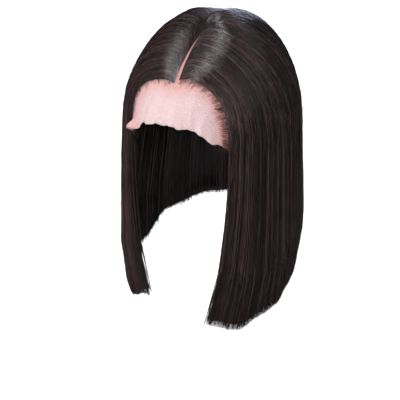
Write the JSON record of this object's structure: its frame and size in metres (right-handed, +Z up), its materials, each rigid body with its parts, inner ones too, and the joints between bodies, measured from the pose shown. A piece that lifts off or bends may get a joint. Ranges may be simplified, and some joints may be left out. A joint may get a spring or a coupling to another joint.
{
  "type": "lace front wig",
  "caption": "Straight blunt-cut bob wig with a centre part, hair knotted into a sheer lace front and sewn onto a net cap that sits on a head.",
  "frame": {"origin": "inside top of the cap, where it sits on the crown of a head", "axes": "+Z is up, the wearer faces -Y, +X is the wearer's left"},
  "size_m": [0.2029, 0.2188, 0.3311],
  "materials": {
    "hair": "straight brown-black hair with a soft gloss",
    "lace": "sheer pale pink-beige net",
    "net": "matt black stretch net"
  },
  "bodies": {
    "root": {"lace_front": "lace", "net_cap": "net", "hair_left": "hair", "hair_back": "hair", "hair_right": "hair"}
  },
  "joints": []
}
